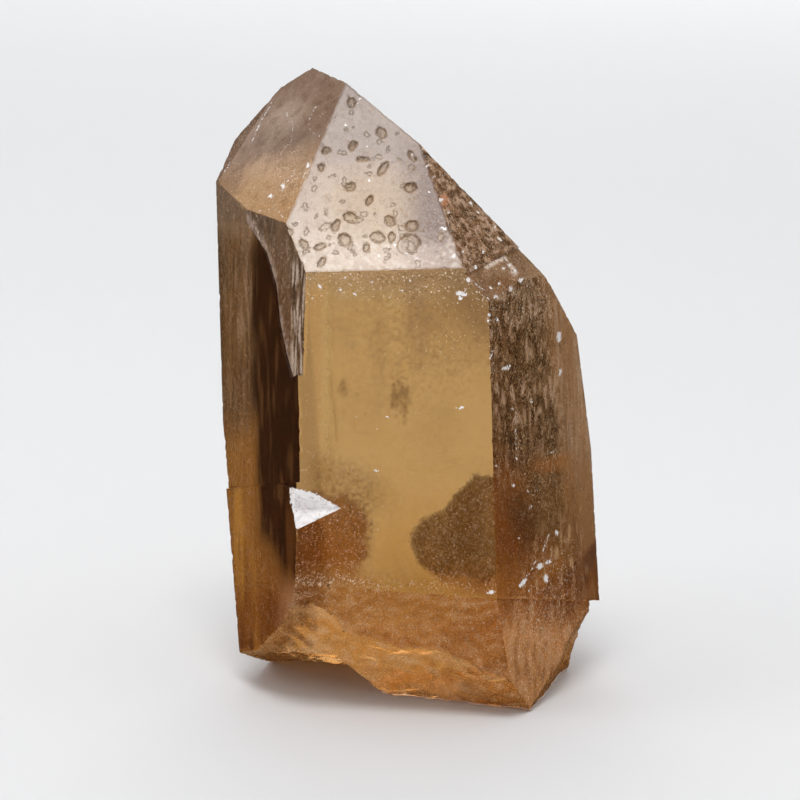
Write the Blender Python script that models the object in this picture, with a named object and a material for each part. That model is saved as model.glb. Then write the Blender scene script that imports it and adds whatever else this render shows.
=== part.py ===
"""Citrine crystal: one natural quartz crystal with a six-sided prism, a six-sided point and a
broken base, standing on the flat of that base.

Lengths are millimetres in the constants and metres in the scene. Every crystal face is a plane:
its azimuth in degrees from the front (the -Y side) towards the right (+X), its rise in degrees
above level, and its distance from the middle of the base along its own normal.
"""

import math

import bmesh
import bpy
from mathutils import Matrix, Vector

MM = 0.001

RAW_BLOCK = 240.0

# Prism faces, named as seen from the front
FRONT_FACE = (0.0, 0.0, 25.0)
RIGHT_FACE = (60.2, 1.6, 24.1)
RIGHT_BEVEL = (70.0, 3.0, 25.85)
RIGHT_BACK_UPPER = (119.4, 13.6, 35.6)
RIGHT_BACK_LOWER = (119.4, 4.2, 30.9)
BACK_FACE = (180.0, 1.0, 25.0)
LEFT_BACK_FACE = (-119.4, -2.7, 22.3)
LEFT_BACK_FLANK = (-105.0, -8.0, 21.2)
LEFT_FACE_NEAR = (-60.8, 1.0, 26.8)
LEFT_FACE_FAR = (-65.8, 0.8, 26.9)

# Faces of the point
POINT_FRONT = (-1.2, 38.0, 60.2)
POINT_RIGHT = (55.6, 37.1, 56.3)
POINT_RIGHT_BACK = (110.9, 42.5, 53.8)
POINT_BACK = (179.6, 38.5, 60.9)
POINT_LEFT_BACK = (-120.0, 38.1, 70.9)
POINT_LEFT = (-54.7, 38.8, 65.1)
POINT_LEFT_STRIP = (-64.5, 38.4, 66.8)
POINT_TIP = (40.0, 78.0, 90.9)

# Broken faces of the base
BASE_FRONT_SWELL = (-1.2, -15.0, 19.3)
BASE_FRONT_UNDER = (-15.0, -46.0, 8.4)
BASE_RIGHT_UNDER = (72.6, -22.0, 21.1)
BASE_BACK_UNDER = (165.0, -35.0, 14.6)
BASE_LEFT_UNDER = (-128.0, -30.0, 18.6)

# The flat it stands on, a little out of square with the long axis
RESTING_FLAT = (-123.7, -86.4, 0.31)

# Hollow broken out under the front left corner
HOLLOW_ROOF = (-14.1, -69.3, 0.18)
HOLLOW_FLANK = (-71.4, -48.6, 4.9)

# The left face is set back above this ledge
LEFT_LEDGE = (-152.3, 77.5, 31.0)
LEFT_UPPER_NEAR = (-60.8, -0.6, 25.4)
LEFT_UPPER_FAR = (-65.8, 0.2, 25.9)

# The right of the point is set back below this ledge
SHOULDER_LEDGE = (-30.0, 83.0, 66.9)
SHOULDER_NEAR = (52.0, 35.5, 55.45)
SHOULDER_FAR = (60.5, 39.5, 57.35)

# The right face is broken in below this line
RIGHT_BREAK_LINE = (150.0, 77.0, 13.95)
RIGHT_BREAK_FACE = (62.2, 1.6, 23.56)
RIGHT_BREAK_BACK = (112.0, -9.0, 25.6)

# Scar on the left face: its floor, and its outline as distance back from the front edge and height
SCAR_FLOOR = (-58.2, 1.6, 27.35)
SCAR_OUTLINE = [(-4.0, 74.0), (20.5, 74.0), (16.8, 70.8), (10.6, 67.0), (7.6, 62.6), (6.4, 57.6),
                (4.6, 53.6), (2.2, 49.8), (0.4, 50.6), (-4.0, 50.6)]
SCAR_RISE_OUT = 5.0

# Where the left edge of the front face stands
FRONT_EDGE = (-15.8, -25.0)

# Crushed chip on that edge: three corners on the front face, the deepest point, and one outside
CHIP_CORNERS = [(-18.4, -25.6, 34.9), (-9.6, -25.0, 31.2), (-15.9, -25.0, 28.1)]
CHIP_PIT = (-15.0, -23.7, 30.9)
CHIP_OUTSIDE = (-21.5, -24.0, 32.0)
CHIP_RISE_OUT = 4.0
CHIP_FLARE = 1.05

# Shell-shaped breaks: a point on the surface, the direction out, radius and depth
SHELL_BREAKS = [
    ((4.0, -19.0, 5.2), (-15.0, -46.0), 24.0, 1.1),
    ((-11.0, -23.6, 13.5), (-20.0, -25.0), 14.0, 0.6),
    ((25.3, 0.5, 4.5), (74.0, -24.0), 26.0, 0.5),
    ((-3.0, 24.0, 6.6), (176.0, -30.0), 20.0, 1.2),
    ((13.0, 17.0, 2.2), (150.0, -38.0), 15.0, 1.0),
    ((-20.5, 9.0, 4.0), (-108.0, -12.0), 16.0, 0.8),
    ((-14.0, 5.4, 1.4), (0.0, -40.0), 7.4, 2.7),
]
SHELL_FINENESS = 5

# Etch pits on the front of the point: across and up the face, length, width and turn
ETCH_PITS = [
    (0.0, 4.1, 3.7, 3.0, 46.0), (-4.4, 5.2, 2.1, 1.8, -17.0), (-9.1, 4.7, 2.1, 1.7, -67.0),
    (-8.4, 8.5, 2.1, 1.6, -23.0), (0.5, 7.1, 1.8, 1.7, 0.0), (0.1, 13.6, 1.7, 1.6, 0.0),
    (-3.8, 16.8, 2.7, 1.0, 63.0), (-2.6, 8.1, 1.9, 1.2, -49.0), (-4.1, 23.0, 2.0, 1.3, -63.0),
    (-8.5, 13.7, 1.5, 1.4, 12.0), (-10.5, 7.1, 2.0, 1.0, 69.0), (-14.9, 4.0, 2.0, 1.1, -53.0),
    (-8.6, 28.2, 1.7, 1.2, 90.0), (-2.4, 5.3, 1.7, 0.9, 82.0), (-12.6, 3.6, 1.7, 1.0, 18.0),
    (-17.1, 6.0, 1.4, 1.2, 90.0), (-12.2, 1.2, 1.7, 0.9, 65.0), (-8.3, 20.7, 1.8, 1.0, 70.0),
    (-5.7, 11.5, 1.8, 0.8, 65.0), (0.3, 19.0, 1.9, 0.8, -63.0), (-6.8, 18.4, 1.7, 0.8, 3.0),
    (-12.1, 19.9, 1.2, 1.1, 24.0), (-6.0, 3.4, 1.4, 0.9, 90.0), (-12.8, 17.0, 1.4, 0.8, 96.0),
]
PIT_DEPTH = 0.28
PIT_FINENESS = 2
PIT_FOOT = (0.0, -25.0, 66.0)

# Shift that brings the middle of the standing crystal over the origin
MIDDLE = (1.6, -0.9)

CITRINE_COLOUR = (0.46, 0.27, 0.11, 1.0)
CITRINE_ROUGHNESS = 0.12


def clear_scene():
    for thing in list(bpy.data.objects):
        bpy.data.objects.remove(thing)


def direction(azimuth, rise):
    turn = math.radians(azimuth)
    lift = math.radians(rise)
    return Vector((math.sin(turn) * math.cos(lift), -math.cos(turn) * math.cos(lift), math.sin(lift)))


def raw_block():
    mesh = bmesh.new()
    bmesh.ops.create_cube(mesh, size=RAW_BLOCK * MM)
    return mesh


def trim(mesh, point, outward):
    """Cut away what lies on the outward side of a plane and close the cut."""
    parts = mesh.verts[:] + mesh.edges[:] + mesh.faces[:]
    cut = bmesh.ops.bisect_plane(mesh, geom=parts, plane_co=point, plane_no=outward, clear_outer=True)
    rim = [item for item in cut["geom_cut"] if isinstance(item, bmesh.types.BMEdge)]
    if rim:
        bmesh.ops.edgeloop_fill(mesh, edges=rim)


def keep_inside(mesh, face):
    azimuth, rise, distance = face
    outward = direction(azimuth, rise)
    trim(mesh, outward * distance * MM, outward)


def keep_outside(mesh, face):
    azimuth, rise, distance = face
    outward = direction(azimuth, rise)
    trim(mesh, outward * distance * MM, -outward)


def object_from(name, mesh):
    bmesh.ops.recalc_face_normals(mesh, faces=mesh.faces[:])
    data = bpy.data.meshes.new(name)
    mesh.to_mesh(data)
    mesh.free()
    thing = bpy.data.objects.new(name, data)
    bpy.context.scene.collection.objects.link(thing)
    return thing


def cut_away(crystal, cutter):
    cutter.hide_render = True
    cutter.display_type = "WIRE"
    step = crystal.modifiers.new(cutter.name, "BOOLEAN")
    step.operation = "DIFFERENCE"
    step.solver = "EXACT"
    step.object = cutter


def citrine_material():
    material = bpy.data.materials.new("citrine")
    material.use_nodes = True
    shader = material.node_tree.nodes["Principled BSDF"]
    shader.inputs["Base Color"].default_value = CITRINE_COLOUR
    shader.inputs["Roughness"].default_value = CITRINE_ROUGHNESS
    shader.inputs["Metallic"].default_value = 0.0
    material.diffuse_color = CITRINE_COLOUR
    return material


def crystal_body():
    mesh = raw_block()
    prism = [FRONT_FACE, RIGHT_FACE, RIGHT_BEVEL, RIGHT_BACK_UPPER, RIGHT_BACK_LOWER, BACK_FACE,
             LEFT_BACK_FACE, LEFT_BACK_FLANK, LEFT_FACE_NEAR, LEFT_FACE_FAR]
    point = [POINT_FRONT, POINT_RIGHT, POINT_RIGHT_BACK, POINT_BACK, POINT_LEFT_BACK, POINT_LEFT,
             POINT_LEFT_STRIP, POINT_TIP]
    base = [BASE_FRONT_SWELL, BASE_FRONT_UNDER, BASE_RIGHT_UNDER, BASE_BACK_UNDER,
            BASE_LEFT_UNDER, RESTING_FLAT]
    for face in prism + point + base:
        keep_inside(mesh, face)
    return object_from("citrine_crystal", mesh)


def wedge_cutter(name, outside, below=(), above=()):
    """A cutter that lies outside some faces, below some and above others."""
    mesh = raw_block()
    for face in outside:
        keep_outside(mesh, face)
    for face in below:
        keep_inside(mesh, face)
    for face in above:
        keep_outside(mesh, face)
    return object_from(name, mesh)


def scar_cutter():
    """The scar's outline, drawn on its sloping floor and carried out past the face."""
    azimuth, rise, distance = SCAR_FLOOR
    outward = direction(azimuth, rise)
    back = Vector((outward.y, -outward.x, 0.0)).normalized()
    mesh = bmesh.new()
    floor_points = []
    for along, height in SCAR_OUTLINE:
        spot = Vector((FRONT_EDGE[0], FRONT_EDGE[1], height)) + back * along
        spot -= outward * (outward.dot(spot) - distance)
        floor_points.append(mesh.verts.new(spot * MM))
    floor = mesh.faces.new(floor_points)
    lift = bmesh.ops.extrude_face_region(mesh, geom=[floor])
    lifted = [item for item in lift["geom"] if isinstance(item, bmesh.types.BMVert)]
    bmesh.ops.translate(mesh, verts=lifted, vec=outward * SCAR_RISE_OUT * MM)
    return object_from("scar_cutter", mesh)


def chip_cutter():
    mesh = bmesh.new()
    for corner in CHIP_CORNERS:
        mesh.verts.new(Vector(corner) * MM)
        raised = Vector((corner[0] * CHIP_FLARE, corner[1] - CHIP_RISE_OUT, corner[2]))
        mesh.verts.new(raised * MM)
    mesh.verts.new(Vector(CHIP_PIT) * MM)
    mesh.verts.new(Vector(CHIP_OUTSIDE) * MM)
    hull = bmesh.ops.convex_hull(mesh, input=mesh.verts[:])
    loose = [item for item in hull["geom_interior"] if isinstance(item, bmesh.types.BMVert)]
    bmesh.ops.delete(mesh, geom=loose, context="VERTS")
    return object_from("chip_cutter", mesh)


def shell_break_cutter(number, spot, out, radius, depth):
    azimuth, rise = out
    centre = Vector(spot) + direction(azimuth, rise) * (radius - depth)
    mesh = bmesh.new()
    bmesh.ops.create_icosphere(mesh, subdivisions=SHELL_FINENESS, radius=radius * MM,
                               matrix=Matrix.Translation(centre * MM))
    return object_from("shell_break_%d" % number, mesh)


def pit_cutter():
    """All etch pits as one cutter of flattened balls sunk in the front face of the point."""
    azimuth, rise, distance = POINT_FRONT
    outward = direction(azimuth, rise)
    across = Vector((-outward.y, outward.x, 0.0)).normalized()
    uphill = outward.cross(across)
    foot = Vector(PIT_FOOT)
    foot -= outward * (outward.dot(foot) - distance)
    mesh = bmesh.new()
    for sideways, up_face, length, width, turn in ETCH_PITS:
        spot = foot + across * sideways + uphill * up_face
        spin = math.radians(turn)
        long_axis = across * math.cos(spin) + uphill * math.sin(spin)
        short_axis = outward.cross(long_axis)
        axes = Matrix((long_axis * length / 2, short_axis * width / 2, outward * PIT_DEPTH))
        frame = Matrix.Translation(spot * MM) @ (axes.transposed() * MM).to_4x4()
        bmesh.ops.create_icosphere(mesh, subdivisions=PIT_FINENESS, radius=1.0, matrix=frame)
    return object_from("pit_cutter", mesh)


def cut_features(crystal):
    cut_away(crystal, wedge_cutter("hollow_cutter", [HOLLOW_ROOF, HOLLOW_FLANK]))
    cut_away(crystal, wedge_cutter("left_near_cutter", [LEFT_UPPER_NEAR], above=[LEFT_LEDGE]))
    cut_away(crystal, wedge_cutter("left_far_cutter", [LEFT_UPPER_FAR], above=[LEFT_LEDGE]))
    cut_away(crystal, wedge_cutter("shoulder_near_cutter", [SHOULDER_NEAR], below=[SHOULDER_LEDGE]))
    cut_away(crystal, wedge_cutter("shoulder_far_cutter", [SHOULDER_FAR], below=[SHOULDER_LEDGE]))
    cut_away(crystal, wedge_cutter("right_break_cutter", [RIGHT_BREAK_FACE], below=[RIGHT_BREAK_LINE]))
    cut_away(crystal, wedge_cutter("right_back_cutter", [RIGHT_BREAK_BACK], below=[RIGHT_BREAK_LINE]))
    cut_away(crystal, scar_cutter())
    cut_away(crystal, chip_cutter())
    for number, (spot, out, radius, depth) in enumerate(SHELL_BREAKS, start=1):
        cut_away(crystal, shell_break_cutter(number, spot, out, radius, depth))
    cut_away(crystal, pit_cutter())


def set_down():
    """Hang everything on one empty, turned so that the resting flat is level at height zero."""
    azimuth, rise, distance = RESTING_FLAT
    outward = direction(azimuth, rise)
    seat = bpy.data.objects.new("seat", None)
    for thing in list(bpy.data.objects):
        if thing.type == "MESH":
            thing.parent = seat
    bpy.context.scene.collection.objects.link(seat)
    seat.rotation_mode = "QUATERNION"
    seat.rotation_quaternion = outward.rotation_difference(Vector((0.0, 0.0, -1.0)))
    seat.location = Vector((MIDDLE[0], MIDDLE[1], distance)) * MM


def build():
    clear_scene()
    crystal = crystal_body()
    crystal.data.materials.append(citrine_material())
    cut_features(crystal)
    set_down()


build()
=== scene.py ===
"""The look of the citrine crystal: a finely divided copy of its solid with etched, broken and frosted
surfaces, in a see-through material, on a pale floor in soft studio light."""

import math

import bmesh
import bpy
import numpy as np
from mathutils import Matrix, Vector, kdtree, noise
from mathutils.geometry import delaunay_2d_cdt


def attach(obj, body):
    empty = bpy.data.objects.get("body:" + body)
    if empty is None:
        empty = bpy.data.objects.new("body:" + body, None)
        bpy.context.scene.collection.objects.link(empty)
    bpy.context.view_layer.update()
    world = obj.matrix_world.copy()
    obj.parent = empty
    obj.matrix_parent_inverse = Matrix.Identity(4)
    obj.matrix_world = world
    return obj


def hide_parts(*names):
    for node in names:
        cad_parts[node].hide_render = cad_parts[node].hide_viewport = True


MM = 0.001

# The camera in the row frame, in millimetres, and the photograph's frame in pixels
EYE = Vector((-6.25, -439.589, 136.193))
FORWARD = Vector((0.00997, 0.97816, -0.20762))
UPWARD = Vector((-0.05129, 0.20785, 0.97681))
SENSOR = 36.0
FRAME_PIXELS = 800.0
LENS_PIXELS = 2970.0

# The crystal's own axes: the flat it stands on, and the shift to the middle of the row frame
RESTING_FLAT = (-123.7, -86.4, 0.31)
MIDDLE = (1.6, -0.9)

# Crystal faces as azimuth from the front, rise and distance from the middle of the base
FACES = {
    "front": [(0, 0, 25)],
    "swell": [(-1.2, -15, 19.3)],
    "right": [(60.2, 1.6, 24.1), (70, 3, 25.85), (62.2, 1.6, 23.56)],
    "left": [(-60.8, 1, 26.8), (-65.8, 0.8, 26.9), (-60.8, -0.6, 25.4), (-65.8, 0.2, 25.9)],
    "point_front": [(-1.2, 38, 60.2)],
    "point_left": [(-54.7, 38.8, 65.1)],
    "point_strip": [(-64.5, 38.4, 66.8)],
    "point_right": [(55.6, 37.1, 56.3)],
    "shoulder": [(52, 35.5, 55.45), (60.5, 39.5, 57.35)],
    "back": [(119.4, 13.6, 35.6), (119.4, 4.2, 30.9), (180, 1, 25), (-119.4, -2.7, 22.3),
             (-105, -8, 21.2), (112, -9, 25.6)],
    "point_back": [(110.9, 42.5, 53.8), (179.6, 38.5, 60.9), (-120, 38.1, 70.9), (40, 78, 90.9)],
    "scar": [(-58.2, 1.6, 27.35)],
}
ZONES = list(FACES) + ["base", "chip", "pit", "ledge"]

# How a face of the solid is known again: nearly the same direction and the same plane
SAME_DIRECTION = 0.9997
SAME_PLANE = 0.06

# Where the small broken faces are: pits on the point, the chip on the front edge, ledges above the base
POINT_FOOT = 60.0
PIT_DEPTH = 0.4
CHIP_MIDDLE = Vector((-14.5, -24.0, 31.0))
CHIP_REACH = 7.0
BASE_TOP = 30.0

# Corners closer than this are one, faces that turn less are one, and edges that turn more stay sharp
SAME_CORNER = 0.003
FLAT_ANGLE = math.radians(0.2)
SHARP_ANGLE = math.radians(9.0)

# Size of the triangles in each zone, in millimetres
FINENESS = {
    "front": 0.32, "swell": 0.42, "right": 0.34, "left": 0.42, "point_front": 0.22, "point_left": 0.3,
    "point_strip": 0.35, "point_right": 0.26, "shoulder": 0.26, "back": 0.9, "point_back": 0.7,
    "scar": 0.25, "base": 0.55, "chip": 0.16, "pit": 0.2, "ledge": 0.25,
}

# Etch pits on the front of the point, in the photograph's pixels: middle, length, width and any turn
PITS = [
    (326.3, 150, 8.4, 6.3, 20), (321.7, 145.3, 4.9, 4.2), (342.2, 153.1, 7.7, 4.2, -5),
    (352.3, 145.3, 10.5, 6.3, 65), (362.8, 158.8, 11.9, 4.9, 2), (372.6, 159.8, 4.9, 2.8, 20),
    (378.9, 156.6, 6.3, 5.6), (382.8, 168.6, 16.8, 6.3, 58), (368.8, 174.1, 7.7, 4.2, -10),
    (320.7, 167.2, 8.4, 5.6, 95), (367, 134.5, 7, 4.2, -70), (381.7, 132.4, 11.9, 8.4, -60),
    (379.6, 141.8, 7, 4.2, 20), (387.3, 149.3, 4.9, 3.5, 80), (399.3, 159.4, 4.2, 2.5),
    (344.5, 181.5, 11.2, 4.9, 90), (350.2, 186.5, 10.5, 8.4, 10), (369.1, 199.8, 11.2, 5.6, 60),
    (305.3, 206.8, 8.4, 4.9, -80), (314.4, 187.9, 7, 4.2, 45), (315.1, 178.7, 3.5, 2.8),
    (329.8, 176.6, 2.8, 2.4), (334, 175.2, 3.5, 2.5), (350.2, 217.3, 14, 9.8, -20),
    (357.2, 220.1, 12.6, 7, 10), (363.8, 213.4, 7.7, 5.6), (389.4, 221.5, 12.6, 8.4, -45),
    (395.5, 214.5, 7.7, 4.9, 75), (401.4, 227.8, 9.8, 4.9, -40), (411.9, 225.7, 11.9, 10.5),
    (377.5, 237, 14.7, 11.2, -15), (391.5, 237.7, 11.2, 7, 80), (324.9, 226.4, 13.3, 6.3, 25),
    (336.1, 225.7, 12.6, 7, 65), (306, 231.4, 7.7, 4.9, 80), (288.4, 232.1, 8.4, 8.4),
    (328.4, 237, 4.9, 3.9, -45), (331.9, 244, 4.2, 2.8), (303.9, 244, 12.6, 7, -50),
    (320, 246.8, 11.9, 6.3, 15), (305.3, 252, 7.7, 3.5, 30), (344.5, 239.8, 11.9, 12.6, 20),
    (350.9, 246.1, 8.4, 5.6, 70), (354.4, 253.8, 7, 3.5, -60), (322.1, 262.2, 11.2, 6.3, 60),
    (297.5, 262.2, 8.4, 4.2), (335.4, 252.4, 5.6, 4.2), (366.3, 248.2, 6.3, 8.4),
    (387.3, 249.6, 7, 3.1, 15), (387.3, 257.3, 9.1, 4.2, 55), (403.5, 237, 11, 7, -35),
    (412, 247.5, 9, 12, 15), (417.5, 264.3, 5.6, 9.8), (440.7, 237, 8.4, 5.6, 60),
    (402.1, 185.8, 6.3, 4.2, 45), (409.8, 187.2, 11.2, 9.8), (411.9, 168.2, 5.6, 7, 60),
    (411.9, 155.6, 11.2, 5.6, -60), (392.2, 204.7, 5.6, 3.5), (343.1, 201.9, 4.9, 3.1, 30),
    (350.9, 112.1, 6.3, 4.2, 50), (351.6, 102.3, 8.4, 9.8), (349.5, 96.7, 4.2, 3.5),
    (346.6, 128.9, 3.5, 3.5), (353, 127.5, 2.8, 2.8), (335.4, 116.3, 2.2, 2.8), (294.7, 223.6, 4.2, 3.5),
    (326.3, 211.7, 2.1, 6.3), (316.5, 215.9, 2.1, 3.5), (365.6, 237, 4.2, 2.1), (369.8, 166.8, 2.8, 2.8),
    (423.1, 230, 2.1, 4.2), (374.7, 213.4, 2.1, 3.5), (397.2, 133.1, 4.2, 3.5),
]

# Bright glints, which are painted highlights, and crushed spots, given the same way
GLINTS = [
    (356.8, 103.7, 2.2, 2.2), (345.2, 124.7, 3, 3.4), (367, 146.5, 2, 2), (369.1, 180.1, 2, 2.2),
    (298.2, 220.8, 1.8, 1.8), (360, 98.8, 3, 2), (412.6, 154.9, 4.5, 2.5, -60),
    (428, 166.1, 3.4, 2.5, 20), (434.3, 176.9, 2.6, 2), (439.3, 220.1, 2.4, 2.4), (454, 256.6, 4, 4.6),
    (478.5, 212.4, 4, 2.2, -20), (494, 227.1, 2.6, 2.6), (395.1, 245.4, 2.2, 5, 20),
    (407, 253.1, 4.5, 2.5, 10), (378.9, 255.2, 2.2, 2.6), (415.4, 258.7, 4, 2.2),
    (458.2, 272.1, 2.6, 2.2), (308.1, 166.1, 3, 6.5), (385.9, 120.5, 2, 2), (441.4, 199.8, 4.5, 3.4),
    (447.7, 212.4, 4.5, 2.2, 10), (462.4, 252, 2.4, 2.4), (470.8, 203.3, 4.2, 2.2, -30),
    (376.6, 470.2, 4.6, 2.6, -12), (356.8, 417.5, 2, 3), (521, 280.5, 4.5, 5, -50), (510.4, 288.5, 3, 6),
    (515, 271, 3.4, 2.4, 30), (503, 268.5, 4, 2, 20), (509, 265.5, 3.5, 2.4), (489, 314, 3, 5, 20),
    (497.5, 320, 2.4, 6, 25), (559.2, 337, 4.6, 11), (503, 368.5, 2.4, 2.4), (509.5, 366, 2.4, 3.4),
    (512.5, 408.5, 1.8, 3), (531, 401, 2, 5, 30), (496.5, 465.5, 2.4, 2.4), (513.4, 485.5, 3.4, 2.6),
    (530.5, 507, 2.2, 3.6), (519.5, 538.5, 2.2, 2.2), (540, 566.5, 7.5, 6, 40), (548.5, 562, 8, 3, 20),
    (546.2, 578.5, 4.2, 9, 10), (523, 583, 12, 4.4, 48), (529, 591, 2, 2.6), (556.8, 533, 3.6, 6.5, 15),
    (491, 592.5, 9, 4, 10), (509.5, 465.5, 2, 2.6), (525.5, 474.5, 1.8, 3), (527.8, 491.5, 2, 4),
    (497, 628, 1.6, 3.4, 20), (540.5, 240, 6, 2.2, -30), (499.5, 283.5, 3, 3), (488, 322, 3.2, 4),
    (491, 355, 2.6, 8, -25), (461.6, 293.5, 12, 5, -8), (460.5, 298, 4, 5), (468.2, 279.6, 6, 4),
    (475.5, 267, 4, 4.5), (402.5, 292, 2.6, 4), (434.5, 291.3, 2.4, 2.4), (507, 367.8, 6, 4),
    (460, 408, 8, 2.4, 12), (496, 297, 5, 4, 30), (560.5, 372, 2.6, 8, -10), (321, 286.7, 6, 3.6, -30),
    (340.1, 289.7, 3, 2.8), (354.7, 293.9, 3.6, 2.8, -30), (371.5, 282.9, 2.8, 2.8),
    (313.3, 298.9, 3, 2.4), (345.5, 277.5, 4.5, 2.2, 10), (410.5, 280.1, 2.2, 3),
    (387.6, 416.8, 3, 1.8, -20), (376.8, 429.8, 2, 2), (270.5, 196, 5, 4), (283, 186, 4, 6, 30),
    (443.5, 228.7, 6, 2.4, -10), (490.4, 287.6, 2.6, 3.4, 20), (499.5, 239, 5.5, 2.2, -40),
    (483, 252, 2.8, 2.4), (429.9, 191.7, 3.4, 2.4), (554.5, 290, 2.4, 11, 35),
]

# Bright scratches on the left of the point and elsewhere, as runs of points in the same pixels
SCRATCHES = [
    [(286.5, 112.5), (287.5, 117), (289.5, 121.5)], [(290.5, 117.5), (292.5, 124), (293, 136)],
    [(316, 106), (311.5, 114), (308.5, 121), (309.5, 128.5), (313, 133), (319, 136)],
    [(272.5, 100.5), (268.5, 108), (263.5, 116.5), (258, 128), (251.5, 142.5)],
    [(293, 138), (288, 144), (283.5, 149.5), (280, 156)], [(296.5, 167), (294, 172), (291.5, 176.5)],
    [(288.5, 180), (284, 186), (281.5, 192)], [(308.5, 165), (305.5, 171.5), (303, 177.5)],
    [(258, 210), (264.5, 211.5), (270, 209)], [(275.5, 209), (281, 213.5), (284, 220.5)],
    [(230.5, 162), (227, 169), (223, 173.5)], [(515.5, 412), (516, 440), (516.5, 462)],
    [(542, 455), (551.5, 452), (562.5, 448.5)], [(470, 279), (478, 286), (488, 293)],
    [(476, 292), (484, 296), (490, 300)], [(543, 552), (547, 540), (550, 533)],
    [(536, 560), (531, 571), (526, 577)],
]

# Half the width of a scratch, and a distance from a mark at which nothing of it shows
SCRATCH_HALF_WIDTH = 0.2
FAR = 40.0

# Outlines in the same pixels: the crushed chip, and the dark veil in the right of the front face
CHIP = [
    (288.5, 487), (297, 488), (306, 490), (315, 493), (325, 498), (333, 503), (341.5, 508.5), (332, 513),
    (322, 516.5), (311, 523), (303, 526), (297.5, 528), (294, 517), (290, 503),
]
VEIL = [
    (409.5, 541), (411, 532), (416, 526), (421, 518.5), (430, 515.5), (436, 512), (443, 509), (448, 503),
    (452, 496), (459, 490), (464, 485.5), (469, 480), (473, 474), (477, 472.5), (482, 475.5), (486, 475),
    (496, 476), (505, 498), (505, 560), (505, 604), (470, 594), (440, 584), (418, 566),
]

# The large patch below the chip
PATCH = [
    (290, 528), (292, 505), (318, 494), (346, 492), (364, 506), (373, 524), (374, 548), (364, 570),
    (352, 584), (290, 586),
]

# Soft ovals that the painting uses, given like the pits
OVALS = {
    "smoke_right": (475, 308, 36, 60, 30),
    "smoke_column": (417, 318, 26, 90, 3),
    "dark_spot": (400, 396, 18, 30),
    "small_spot": (343, 388, 8, 16),
    "faint_column": (380, 350, 16, 120),
    "patch_glow": (333, 560, 56, 44),
    "patch_shade": (352, 528, 40, 60, -20),
    "patch_haze": (345, 484, 90, 44, -25),
    "veil_heart": (466, 530, 40, 84, -8),
    "veil_foot": (436, 562, 60, 40, 10),
    "pale_foot_left": (315, 588, 70, 22),
    "frost_left": (345, 588, 70, 30),
    "frost_corner": (298, 585, 20, 20),
    "under_veil": (452, 582, 120, 40),
    "patch_specks": (325, 545, 90, 70),
    "upper_specks": (425, 335, 120, 110),
    "lower_specks": (400, 500, 180, 200),
    "upper_mottle": (420, 330, 130, 130),
    "dark_spot_mottle": (400, 396, 20, 44),
    "small_spot_mottle": (343, 388, 11, 20),
    "swell_bloom": (308, 640, 70, 46),
    "right_deep": (512, 528, 56, 120, 16),
    "right_core": (524, 520, 30, 56, 20),
    "right_shadow": (548, 505, 40, 90, 20),
    "right_haze": (505, 474, 30, 26),
    "right_band": (552, 464, 34, 14, 15),
    "right_streaks": (552, 590, 60, 150, -20),
    "right_frost": (550, 590, 60, 90),
    "right_specks_high": (525, 480, 70, 60),
    "right_specks_low": (548, 585, 60, 100, -20),
    "left_middle": (239, 325, 24, 240),
    "left_glow": (228, 350, 20, 110),
    "left_frost": (240, 285, 24, 96, 4),
    "lilac": (434, 212, 60, 130, 12),
    "point_gold": (372, 205, 80, 60),
    "point_foot": (425, 256, 70, 26),
    "point_left_edge": (322, 122, 34, 80, -25),
    "point_left_smoke": (290, 150, 60, 34, -40),
    "point_left_frost": (292, 170, 40, 60, 25),
    "orange_spot": (444, 200, 8, 12),
    "shoulder_hollow": (503, 284, 26, 16, -10),
    "scar_groove": (286, 318, 13, 120, 7),
}

# Runs of points that lines and worn edges follow
RUNS = {
    "front_right_corner": [(458, 268), (490, 299), (491, 372)],
    "hairline_high": [(331, 376), (332, 398)],
    "hairline_low": [(334, 400), (337, 442)],
    "dash_left": [(394, 384), (392, 408)],
    "dash_right": [(408, 386), (405, 410), (404, 424)],
    "right_corner": [(490, 299), (491, 372)],
    "shoulder_arc": [(486, 268), (496, 261), (505, 258), (510, 264), (514, 273)],
    "scar_rim": [(241, 212), (252, 226), (260, 240), (268, 262), (274, 290), (280, 330), (290, 376)],
    "scar_edge": [(297, 262), (299, 300), (299, 376)],
}

# Bands of the photograph's rows and of its columns, from nothing at the first to all at the second
ROWS = {
    "front_top": (312, 276), "smoky_top": (400, 300), "front_gold": (440, 560), "strip_foot": (512, 492),
    "strip_top": (262, 300), "seam_foot": (512, 480), "patch_rim_foot": (580, 560),
    "veil_end": (608, 578), "veil_fading": (548, 584), "front_foot": (566, 596),
    "front_frost": (566, 592), "amber_low": (470, 590), "specks_top": (380, 300),
    "grain_foot": (570, 590), "swell_top": (628, 600), "swell_pale": (624, 668),
    "swell_right_foot": (672, 640), "feathers": (470, 400), "bands": (580, 480),
    "right_amber": (440, 510), "right_edge_low": (420, 520), "right_gold": (545, 612),
    "right_foot": (588, 644), "right_flecks": (566, 600), "right_low": (590, 640),
    "right_high": (350, 295), "stipple_fading": (430, 560), "right_crackle": (440, 560),
    "right_grain": (620, 540), "dark_foot": (568, 520), "left_rim_foot": (430, 300),
    "left_top": (250, 205), "left_amber": (395, 455), "left_low": (430, 500), "dark_low": (480, 540),
    "left_foot": (570, 600), "point_pale": (150, 262), "point_tip": (120, 85), "point_low": (225, 255),
    "point_left_gold": (148, 200), "point_left_tip": (120, 80), "scar_right_top": (256, 270),
}
COLUMNS = {
    "smoky_side": (390, 490), "strip": (336, 318), "patch_haze_side": (300, 334),
    "veil_right": (480, 490), "strip_left": (330, 318), "amber_side": (360, 400),
    "specks_side": (420, 500), "swell_right": (430, 500), "swell_left": (299, 292),
    "right_flecks_side": (530, 560), "left_rim": (228, 219), "left_foot_side": (272, 290),
    "shoulder_right": (518, 542),
}

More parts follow.
